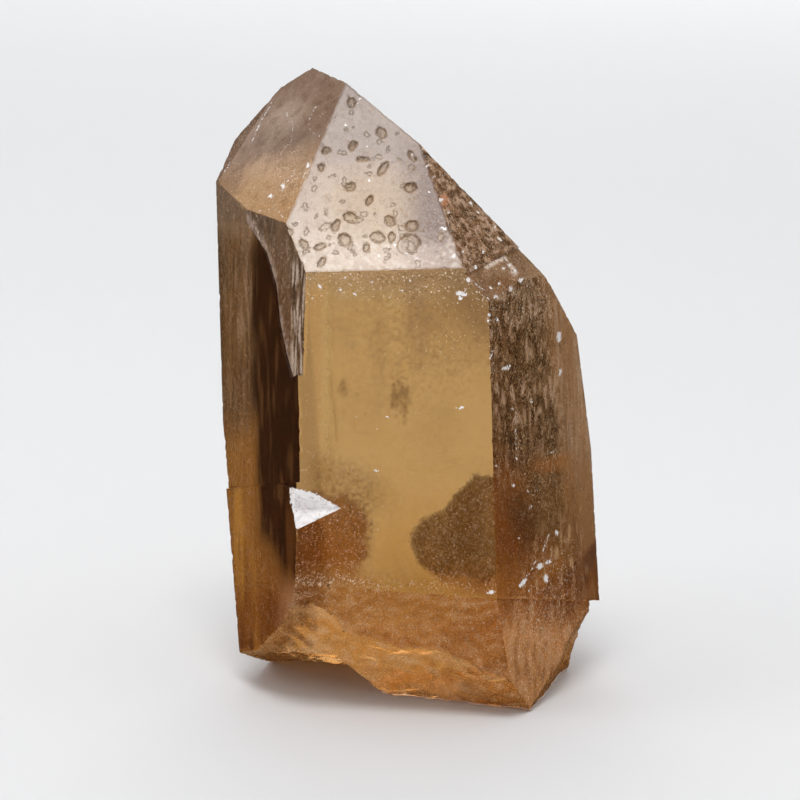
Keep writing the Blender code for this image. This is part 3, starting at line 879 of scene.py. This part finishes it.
def paint_shoulder(coat):
    cloud = coat.cloud(0.35, 16)
    arc = coat.from_run("shoulder_arc")
    coat.lay(smooth(-0.2, 0.4, cloud) * 0.5, (0.1, 0.055, 0.025), 0.35)
    coat.lay(coat.oval("shoulder_hollow") * 0.7, screen(112, 78, 50), 0.35)
    coat.lay(coat.columns("shoulder_right") * 0.6, screen(176, 142, 108), 0.55)
    near = smooth(3.6, 1, arc + cloud * 2.4)
    coat.lay(near * smooth(-0.2, 0, coat.cloud(2.2, 28)) * 0.9, screen(244, 226, 212), 0.9)
    coat.wear(crackle=0.6, stipple=0.2, specks=0.5, grain=0.6)


def paint_back(coat):
    coat.glint[:] = FAR
    streak = coat.cloud(0.075, 17, 4)
    cloud = coat.cloud(0.12, 18)
    coat.lay(smooth(24, 6, coat.height + cloud * 5) * 0.8, (0.85, 0.56, 0.24), 0.12)
    coat.lay(smooth(50, 70, coat.height + cloud * 6) * 0.8, (0.95, 0.88, 0.74), 0.1)
    coat.lay(smooth(0.1, 0.6, streak) * 0.3, (0.85, 0.72, 0.45), 0.15)
    coat.wear(rough=0.08 * streak, stipple=0.06 + 0.2 * smooth(0, 0.4, cloud),
              crackle=0.5 * smooth(22, 8, coat.height) + 0.4 * smooth(0.2, 0.5, cloud),
              specks=0.3 + 0.4 * smooth(0.1, 0.4, cloud))


def paint_point_back(coat):
    coat.glint[:] = FAR
    cloud = coat.cloud(0.16, 19)
    fine = coat.cloud(0.7, 47)
    coat.lay(smooth(-0.2, 0.5, cloud) * 0.4, (0.84, 0.78, 0.72), 0.3)
    coat.lay(smooth(0.1, 0.5, fine) * 0.3, (0.9, 0.86, 0.8), 0.35)
    coat.wear(rough=0.1 * cloud, stipple=0.1 + 0.25 * smooth(0, 0.4, fine),
              crackle=0.3 + 0.4 * smooth(0.1, 0.4, cloud), specks=0.5)


def paint_scar(coat):
    cloud = coat.cloud(0.5, 20, 0.35)
    streak = coat.cloud(2.2, 21, 0.1)
    rim = coat.from_run("scar_rim")
    edge = coat.from_run("scar_edge")
    coat.lay(smooth(-0.2, 0.5, cloud) * 0.6, screen(82, 60, 42))
    rough = coat.cloud(1.4, 39)
    coat.lay(coat.oval("scar_groove") * 0.8, screen(92, 60, 34), 0.35)
    coat.lay(smooth(5.5, 2.5, rim + cloud * 2 + rough * 3) * 0.95, screen(176, 152, 140), 0.8)
    coat.lay(smooth(-0.05, -0.4, rough) * smooth(8, 4, rim) * 0.6, screen(70, 50, 36), 0.4)
    right = smooth(10, 6, edge + cloud * 3) * coat.rows("scar_right_top")
    # Whitish streaks along the scar's right edge, partly frosting and partly painted highlight, with
    # painted shadow lines between them
    coat.lay(right * smooth(0.05, 0.25, streak) * 0.9, screen(204, 184, 168), 0.8)
    coat.lay(right * smooth(0.05, -0.2, streak) * 0.85, screen(34, 22, 12), 0.3)
    coat.wear(crackle=0.5, stipple=0.45 + 0.4 * smooth(6, 2, rim), grain=1.4)


def paint_base(coat):
    coat.glint[:] = FAR
    cloud = coat.cloud(0.2, 22)
    fine = coat.cloud(0.6, 23)
    coat.lay(smooth(-0.3, 0.4, cloud) * 0.6, screen(244, 192, 130), 0.46)
    coat.lay(smooth(0, 0.5, fine) * 0.5, screen(246, 206, 156), 0.55)
    coat.lay(smooth(-0.05, -0.5, fine) * 0.4, screen(176, 110, 44), 0.26)
    coat.wear(crackle=0.5, stipple=0.1, specks=0.3, grain=0.25)


def paint_chip(coat):
    coat.glint = np.full(len(coat.x), -4.0)
    coat.grain += 3


# Each zone's first colour, how milky and how rough it is, and what is painted over that
COATS = {
    "front": ((0.99, 0.82, 0.4), 0.02, 0.07, paint_front),
    "swell": (screen(216, 148, 68), 0.3, 0.24, paint_swell),
    "right": ((0.03, 0.012, 0.004), 0.1, 0.2, paint_right),
    "left": ((0.085, 0.032, 0.008), 0.15, 0.2, paint_left),
    "point_front": (screen(196, 172, 156), 0.55, 0.3, paint_point_front),
    "point_left": (screen(194, 166, 146), 0.52, 0.12, paint_point_left),
    "point_strip": (screen(154, 124, 102), 0.55, 0.25, paint_point_strip),
    "point_right": (screen(136, 104, 80), 0.4, 0.25, paint_point_right),
    "shoulder": (screen(156, 124, 98), 0.5, 0.25, paint_shoulder),
    "back": ((1, 0.88, 0.6), 0.05, 0.14, paint_back),
    "point_back": ((0.97, 0.93, 0.88), 0.12, 0.14, paint_point_back),
    "scar": (screen(112, 86, 64), 0.5, 0.45, paint_scar),
    "base": (screen(240, 168, 80), 0.28, 0.24, paint_base),
    "chip": ((0.95, 0.93, 0.91), 0.96, 0.6, paint_chip),
    "pit": (screen(206, 182, 162), 0.6, 0.35, paint_point_front),
    "ledge": ((0.14, 0.068, 0.024), 0.18, 0.3, paint_left),
}


# The numbers painted on each corner besides colour and milk, in the mesh layers that hold them
LAYERS = {
    "wear": ("rough", "stipple", "crackle"),
    "marks": ("pit", "veil", "glint"),
    "extra": ("grain", "specks"),
}


def painted(zone, points, places):
    colour, milk, rough, paint = COATS[zone]
    coat = Coat(points, places, colour, milk, rough)
    paint(coat)
    return coat


# The material: the crystal's inside, then the colours of the marks on it
QUARTZ_IOR = 1.55
INSIDE = (0.775, 0.575, 0.325, 1.0)
INSIDE_DENSITY = 40.0
VEIL_BROWN = (0.12, 0.045, 0.007, 1.0)
VEIL_MOTTLE = (0.06, 0.024, 0.005, 1.0)
VEIL_SHADE = (0.06, 0.03, 0.007, 1.0)
FLECK = (0.6, 0.37, 0.18, 1.0)
DARK_FLECK = (0.32, 0.26, 0.2, 1.0)
FLAKE = (0.74, 0.54, 0.38, 1.0)
DARK_FLAKE = (0.4, 0.32, 0.26, 1.0)
THREAD = (0.8, 0.58, 0.4, 1.0)
SPECK = (0.9, 0.78, 0.66, 1.0)
DARK_DOT = (0.34, 0.24, 0.17, 1.0)
PIT_FLOOR = (0.5, 0.37, 0.24, 1.0)
PIT_WALL = (0.27, 0.18, 0.11, 1.0)
# The white of the painted highlights and of the crushed spots, and the flecks in it
GLINT_AND_CRUSHED_WHITE = (0.98, 0.95, 0.94, 1.0)
GLINT_AND_CRUSHED_FLECK = (0.56, 0.36, 0.26, 1.0)


class Nodes:
    """Short ways to add shader nodes to one node tree."""

    def __init__(self, tree):
        self.tree = tree

    def add(self, kind, inputs=(), **settings):
        node = self.tree.nodes.new(kind)
        for name, value in settings.items():
            setattr(node, name, value)
        for key, value in inputs:
            if isinstance(value, bpy.types.NodeSocket):
                self.tree.links.new(value, node.inputs[key])
            else:
                node.inputs[key].default_value = value
        return node

    def math(self, operation, *values):
        return self.add("ShaderNodeMath", enumerate(values), operation=operation).outputs[0]

    def times(self, first, second):
        return self.math("MULTIPLY", first, second)

    def times_plus(self, first, second, third):
        return self.math("MULTIPLY_ADD", first, second, third)

    def ragged(self, distance, noise, amount, middle=0.5):
        """A distance from a mark, made uneven by noise."""
        return self.math("ADD", distance, self.times(self.math("SUBTRACT", noise, middle), amount))

    def step(self, value, start, end):
        """0 where the value is at start, 1 where it is at end, smooth between them."""
        inputs = [("Value", value), ("From Min", start), ("From Max", end)]
        return self.add("ShaderNodeMapRange", inputs, interpolation_type="SMOOTHSTEP").outputs["Result"]

    def mix(self, factor, first, second, blend="MIX"):
        inputs = [(0, factor), (6, first), (7, second)]
        return self.add("ShaderNodeMix", inputs, data_type="RGBA", blend_type=blend).outputs[2]

    def stretched(self, place, across, upright):
        inputs = [(0, place), (1, (across, across, upright))]
        return self.add("ShaderNodeVectorMath", inputs, operation="MULTIPLY").outputs[0]

    def noise(self, place, scale, detail=2.0, roughness=0.6):
        inputs = [("Vector", place), ("Scale", scale), ("Detail", detail), ("Roughness", roughness)]
        return self.add("ShaderNodeTexNoise", inputs).outputs["Fac"]


class Look:
    """The colour and the milkiness that the shader builds up mark by mark, and the noises behind them."""

    def __init__(self, nodes):
        coat = nodes.add("ShaderNodeAttribute", attribute_name="coat")
        self.nodes = nodes
        self.colour = coat.outputs["Color"]
        self.milk = coat.outputs["Alpha"]
        self.painted = {}
        for layer, fields in LAYERS.items():
            vector = nodes.add("ShaderNodeAttribute", attribute_name=layer).outputs["Vector"]
            self.painted.update(zip(fields, nodes.add("ShaderNodeSeparateXYZ", [(0, vector)]).outputs))
        metres = nodes.add("ShaderNodeTexCoord").outputs["Object"]
        self.place = nodes.stretched(metres, 1.0 / MM, 1.0 / MM)
        self.fine = nodes.noise(self.place, 2.6, 3.0)
        self.grit = nodes.noise(nodes.stretched(self.place, 1.0, 0.6), 3.6, 4.0, 0.7)
        self.lines = nodes.noise(self.place, 1.6, 2.5)
        self.dots = nodes.noise(self.place, 3.4, 1.0)
        patches = nodes.step(nodes.noise(self.place, 0.9, 3.0), 0.4, 0.6)
        self.stipple = nodes.times(self.painted["stipple"], nodes.times_plus(patches, 0.7, 0.4))
        self.crackle = nodes.times(self.painted["crackle"], nodes.times_plus(patches, 0.8, 0.3))

    def tint(self, mark, share, colour, milk=0.0):
        """Mix a colour in where the mark is, and make it milkier there."""
        self.colour = self.nodes.mix(self.nodes.times(mark, share), self.colour, colour)
        if milk:
            self.milk = self.nodes.times_plus(mark, milk, self.milk)

    def darken(self, mark, share, colour):
        """Multiply by a colour where the mark is."""
        share = self.nodes.times(mark, share)
        self.colour = self.nodes.mix(share, self.colour, colour, "MULTIPLY")


def add_veil(look):
    nodes = look.nodes
    veiled = nodes.step(nodes.ragged(look.painted["veil"], look.fine, 11.0), 1.6, -1.6)
    mottle = nodes.step(look.grit, 0.58, 0.44)
    shade = nodes.step(nodes.noise(look.place, 0.35, 2.0), 0.6, 0.42)
    look.tint(veiled, 0.5, VEIL_BROWN, 0.06)
    look.tint(nodes.times(veiled, mottle), 0.5, VEIL_MOTTLE)
    look.tint(nodes.times(veiled, shade), 0.3, VEIL_SHADE)


def add_flecks(look):
    """Light and dark flecks. The light ones are rough and raised, so they are given back."""
    nodes = look.nodes
    fleck = nodes.times(nodes.step(look.grit, 0.52, 0.62), look.stipple)
    look.tint(fleck, 0.7, FLECK, 0.4)
    look.darken(nodes.times(nodes.step(look.grit, 0.48, 0.38), look.stipple), 0.9, DARK_FLECK)
    return fleck


def add_flakes(look):
    nodes = look.nodes
    coarse = nodes.noise(nodes.stretched(look.place, 1.0, 0.65), 1.5, 3.0, 0.65)
    flake = nodes.times(nodes.step(coarse, 0.54, 0.61), look.stipple)
    look.tint(nodes.times(flake, nodes.step(look.fine, 0.4, 0.56)), 0.6, FLAKE, 0.3)
    look.darken(nodes.times(nodes.step(coarse, 0.47, 0.4), look.stipple), 0.7, DARK_FLAKE)


def add_threads(look):
    """Fine bright lines, which are rough too."""
    nodes = look.nodes
    thread = nodes.math("ABSOLUTE", nodes.math("SUBTRACT", look.lines, 0.5))
    thread = nodes.times(nodes.step(thread, 0.03, 0.008), nodes.step(look.fine, 0.42, 0.52))
    thread = nodes.times(thread, look.crackle)
    look.tint(thread, 0.75, THREAD, 0.55)
    return thread


def add_specks(look):
    nodes = look.nodes
    look.tint(nodes.times(nodes.step(look.dots, 0.66, 0.7), look.painted["specks"]), 1.0, SPECK, 0.7)
    look.darken(nodes.times(nodes.step(look.dots, 0.33, 0.29), look.painted["specks"]), 1.0, DARK_DOT)


def add_pits(look):
    """The floors of the etch pits, which are hollow, and the walls round them."""
    nodes = look.nodes
    edge = nodes.ragged(look.painted["pit"], look.lines, 9.0, 0.45)
    hollow = nodes.step(edge, 0.6, -0.8)
    ring = nodes.step(nodes.math("ABSOLUTE", edge), 1.9, 0.5)
    ring = nodes.times(ring, nodes.step(look.fine, 0.3, 0.55))
    look.tint(hollow, 0.35, PIT_FLOOR)
    look.tint(ring, 0.75, PIT_WALL)
    return hollow


def add_glints(look):
    nodes = look.nodes
    # Painted highlights: the glints are laid on white and milky, together with the crushed chip and the
    # bright scratches
    bright = nodes.step(nodes.ragged(look.painted["glint"], look.fine, 7.0), 0.2, -0.6)
    look.tint(bright, 1.0, nodes.mix(nodes.step(look.grit, 0.57, 0.66), GLINT_AND_CRUSHED_WHITE, GLINT_AND_CRUSHED_FLECK))
    look.milk = nodes.math("MAXIMUM", look.milk, nodes.times(bright, 0.95))


def citrine():
    material = bpy.data.materials.new("citrine")
    material.use_nodes = True
    tree = material.node_tree
    nodes = Nodes(tree)
    look = Look(nodes)
    add_veil(look)
    fleck = add_flecks(look)
    add_flakes(look)
    thread = add_threads(look)
    add_specks(look)
    hollow = add_pits(look)
    add_glints(look)

    clear = nodes.math("SUBTRACT", 1.0, nodes.math("MINIMUM", look.milk, 0.97))
    roughness = nodes.times_plus(nodes.math("MAXIMUM", fleck, thread), 0.25, look.painted["rough"])
    roughness = nodes.times_plus(nodes.math("SUBTRACT", look.fine, 0.5), 0.12, roughness)
    waves = nodes.noise(nodes.stretched(look.place, 0.2, 1.0), 0.8, 2.0)
    height = nodes.math("ADD", look.fine, nodes.times(look.grit, 0.5))
    height = nodes.times(nodes.times(height, look.painted["grain"]), 0.035)
    for mark, rise in ((hollow, -0.04), (waves, 0.03), (fleck, 0.02)):
        height = nodes.times_plus(mark, rise, height)
    bump = nodes.add("ShaderNodeBump", [("Height", height), ("Distance", MM), ("Strength", 1.0)])
    inside = nodes.add("ShaderNodeVolumeAbsorption", [("Color", INSIDE), ("Density", INSIDE_DENSITY)])

    shader = tree.nodes["Principled BSDF"]
    tree.links.new(look.colour, shader.inputs["Base Color"])
    tree.links.new(clear, shader.inputs["Transmission Weight"])
    tree.links.new(roughness, shader.inputs["Roughness"])
    tree.links.new(bump.outputs["Normal"], shader.inputs["Normal"])
    shader.inputs["IOR"].default_value = QUARTZ_IOR
    tree.links.new(inside.outputs["Volume"], tree.nodes["Material Output"].inputs["Volume"])
    return material


# The crystal

def weather(places, normals, zones_at):
    """Break up the base and the scar, wear the edges, and leave the rest almost flat."""
    broken = np.maximum(zones_at["base"] * 0.7, zones_at["swell"] * 0.3)
    broken = broken * smooth(19.0, 9.0, places[:, 2])
    swirl = ripple(places, 0.16, 30)
    shells = np.abs(ripple(places + swirl[:, None] * 3.0, 0.26, 31))
    ledges = np.abs(ripple(places, 0.62, 37, 1.6))
    chips = ripple(places, 1.3, 32)
    move = broken * (0.1 * chips - 0.9 * shells - 0.18 * ledges)
    move += zones_at["scar"] * 0.16 * ripple(places, 0.9, 33, 0.3)
    move += zones_at["chip"] * 0.3 * ripple(places, 1.4, 34)
    move += 0.025 * ripple(places, 0.13, 35, 0.4)
    nicks = smooth(0.12, 0.5, ripple(places, 1.1, 36))
    move -= zones_at["edge"] * (0.05 + 0.16 * nicks)
    return places + normals * move[:, None]


def shares(triangles, zones, sharp, count):
    """For each zone, and for the sharp edges, which points belong to it."""
    used = {zone: np.zeros(count) for zone in ZONES}
    for zone in ZONES:
        own = triangles[zones == zone].ravel()
        other = triangles[zones != zone].ravel()
        used[zone][own] = 1.0
        if zone not in ("base", "swell"):
            used[zone][other] = 0.0
    used["edge"] = np.zeros(count)
    used["edge"][np.array(sharp).ravel()] = 1.0
    return used


def corner_layer(mesh, name, kind, values):
    layer = mesh.attributes.new(name, kind, "CORNER")
    field = "color" if kind == "FLOAT_COLOR" else "vector"
    layer.data.foreach_set(field, values.astype(np.float32).ravel())


def add_crystal(node):
    axes = crystal_axes()
    points, faces, creases = flat_faces(node, axes.inverted())
    points, triangles, zones, sharp = divide(points, faces, creases)
    places = np.array([tuple(point) for point in points])
    triangles = np.array(triangles)
    zones = np.array(zones)
    sides = np.cross(places[triangles[:, 1]] - places[triangles[:, 0]],
                     places[triangles[:, 2]] - places[triangles[:, 0]])
    normals = np.zeros(places.shape)
    for corner in range(3):
        np.add.at(normals, triangles[:, corner], sides)
    normals /= np.maximum(np.linalg.norm(normals, axis=1), 1e-9)[:, None]
    turn = np.array(axes.to_3x3())
    shift = np.array(axes.translation)
    flat = places @ turn.T + shift
    shaped = weather(places, normals, shares(triangles, zones, sharp, len(places))) @ turn.T + shift
    shaped[:, 2] = np.maximum(shaped[:, 2], 0.0)
    crystal = object_of("crystal", [tuple(place) for place in shaped * MM], triangles.tolist())
    mesh = crystal.data
    mesh.shade_smooth()
    marked = {frozenset(pair) for pair in sharp}
    ends = np.zeros(len(mesh.edges) * 2, dtype=np.int32)
    mesh.edges.foreach_get("vertices", ends)
    flags = np.array([frozenset(pair) in marked for pair in ends.reshape(-1, 2).tolist()])
    mesh.attributes.new("sharp_edge", "BOOLEAN", "EDGE").data.foreach_set("value", flags)
    coats = np.zeros((len(triangles), 3, 4))
    layers = {layer: np.zeros((len(triangles), 3, 3)) for layer in LAYERS}
    for zone in ZONES:
        mine = zones == zone
        if not mine.any():
            continue
        used, number = np.unique(triangles[mine], return_inverse=True)
        number = number.reshape(-1, 3)
        coat = painted(zone, flat[used], places[used])
        coats[mine] = np.column_stack((coat.colour, coat.milk))[number]
        for layer, fields in LAYERS.items():
            for axis, field in enumerate(fields):
                layers[layer][mine, :, axis] = getattr(coat, field)[number]
    corner_layer(mesh, "coat", "FLOAT_COLOR", coats)
    for layer, values in layers.items():
        corner_layer(mesh, layer, "FLOAT_VECTOR", values)
    mesh.materials.append(citrine())
    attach(crystal, "root")
    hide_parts("citrine_crystal")


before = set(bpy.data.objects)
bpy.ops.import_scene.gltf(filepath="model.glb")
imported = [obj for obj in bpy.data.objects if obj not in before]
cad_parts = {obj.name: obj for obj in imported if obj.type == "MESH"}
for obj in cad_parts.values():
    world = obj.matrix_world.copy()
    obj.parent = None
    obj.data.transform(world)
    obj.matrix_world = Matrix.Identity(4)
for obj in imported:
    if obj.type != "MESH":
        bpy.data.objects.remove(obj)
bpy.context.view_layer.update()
set_view()
add_camera()
add_room()
add_lights()
add_crystal(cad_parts["citrine_crystal"])
